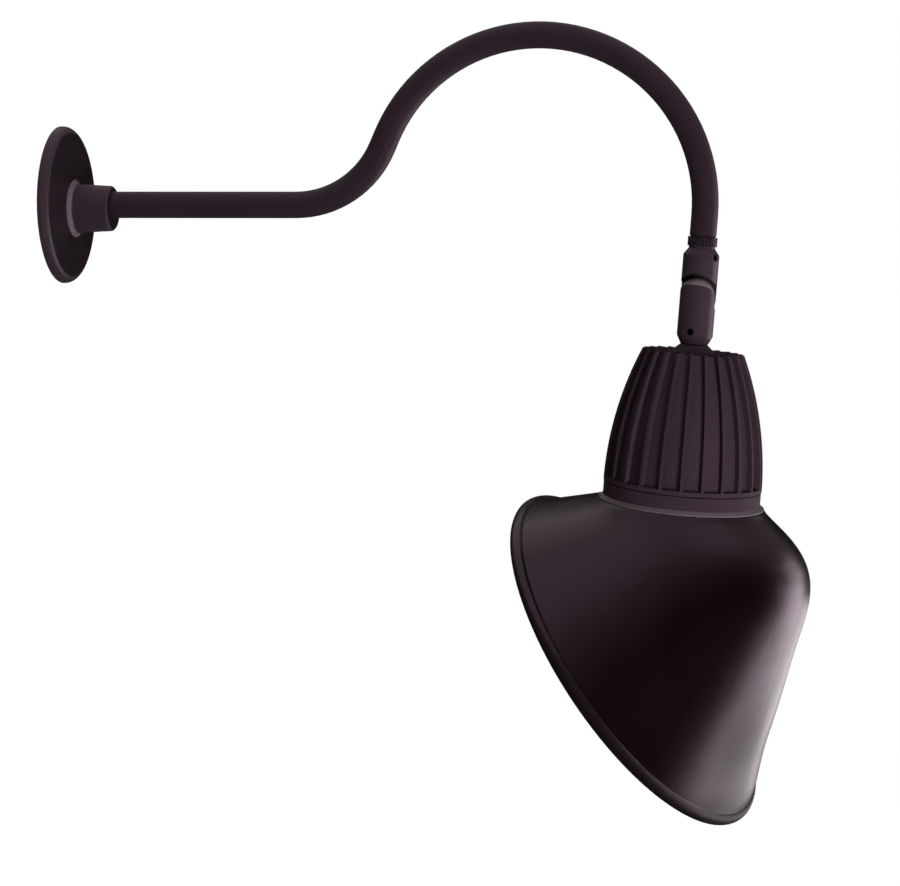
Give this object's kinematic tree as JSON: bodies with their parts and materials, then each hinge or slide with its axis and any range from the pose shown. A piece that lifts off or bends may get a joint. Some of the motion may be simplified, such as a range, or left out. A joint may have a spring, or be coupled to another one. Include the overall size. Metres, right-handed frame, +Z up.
{
  "type": "gooseneck barn light",
  "caption": "Outdoor wall light on a gooseneck arm, with a round wall flange, a tilting swivel, a finned heat sink and an angled shade in dark bronze.",
  "frame": {"origin": "centre of the wall flange's face that lies on the wall, on the arm's axis", "axes": "+X out from the wall along the arm's straight run, +Z up, +Y across to complete the frame"},
  "size_m": [0.7501, 0.3713, 0.7868],
  "materials": {
    "bronze_cast": "satin",
    "bronze_tube": "satin",
    "bronze_sheet": "satin",
    "bare_aluminium": "satin",
    "black_screw": "satin",
    "bright_screw": "satin",
    "black_rubber": "matte",
    "thermal_pad": "matte",
    "driver_case": "matte",
    "white_board": "satin",
    "led_phosphor": "matte",
    "reflector": "gloss",
    "lens_glass": "gloss"
  },
  "bodies": {
    "arm": {"wall_flange": "bronze_cast", "wall_gasket": "black_rubber", "hub_set_screw": "black_screw", "ground_screw": "bright_screw", "gooseneck_arm": "bronze_tube", "arm_end_insert": "bare_aluminium"},
    "swivel": {"swivel_upper": "bronze_cast", "lock_nut": "bronze_cast", "upper_set_screw": "black_screw"},
    "head": {"swivel_lower": "bronze_cast", "pivot_bolt": "black_screw", "lower_set_screw": "black_screw", "neck_seal": "black_rubber", "heat_sink": "bronze_cast", "led_plate": "bare_aluminium", "led_driver": "driver_case", "plate_screws": "bright_screw", "thermal_pad": "thermal_pad", "led_board": "white_board", "led_chips": "led_phosphor", "board_screws": "bright_screw", "reflector": "reflector", "ring_gasket": "black_rubber", "lens_ring": "bronze_cast", "lens": "lens_glass", "lens_gasket": "black_rubber", "shade": "bronze_sheet", "shade_screws": "bright_screw"}
  },
  "joints": [
    {"name": "head_turn", "type": "hinge", "parent": "arm", "child": "swivel", "pos_m": [0.6426, 0, -0.03133], "axis": [0.0785, 0, 0.9969], "range_deg": [-170, 170]},
    {"name": "head_tilt", "type": "hinge", "parent": "swivel", "child": "head", "pos_m": [0.63805, 0, -0.08905], "axis": [0.2798, 0.9598, -0.022], "range_deg": [-45, 45]}
  ]
}
